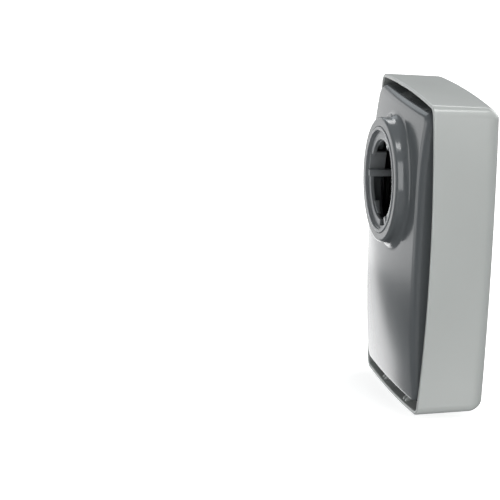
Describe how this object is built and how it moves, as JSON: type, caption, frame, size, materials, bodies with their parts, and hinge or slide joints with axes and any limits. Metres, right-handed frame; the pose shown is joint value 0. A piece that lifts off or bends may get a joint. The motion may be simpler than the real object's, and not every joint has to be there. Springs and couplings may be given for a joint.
{
  "type": "respirator filter cartridge",
  "caption": "Hard-case particulate filter cartridge: bowed rectangular case over a crowned rear housing, with a bayonet port near one end.",
  "frame": {"origin": "centre of the bayonet port, on the plane of its gasket seat", "axes": "+Y out of the port, away from the cartridge, with the label face towards -Y; +Z along the case towards its port end; +X across the case"},
  "size_m": [0.09, 0.0404, 0.1302],
  "materials": {
    "case_plastic": "satin moulded plastic, light cool grey",
    "label_film": "printed film label, purple",
    "housing_plastic": "glossy moulded plastic, mid grey",
    "ring_plastic": "semi-gloss moulded plastic, mid grey",
    "grid_plastic": "matte moulded plastic, near black",
    "medium": "pleated glass-fibre paper, charcoal",
    "strip": "bonded nonwoven strip",
    "hot_melt": "hot-melt adhesive bead",
    "potting": "cast potting compound"
  },
  "bodies": {
    "root": {"front_cover": "case_plastic", "label": "label_film", "rear_housing": "housing_plastic", "bayonet_ring": "ring_plastic", "support_grid": "grid_plastic", "filter_medium": "medium", "edge_strips": "strip", "spacer_beads": "hot_melt", "potting_seal": "potting"}
  },
  "joints": []
}
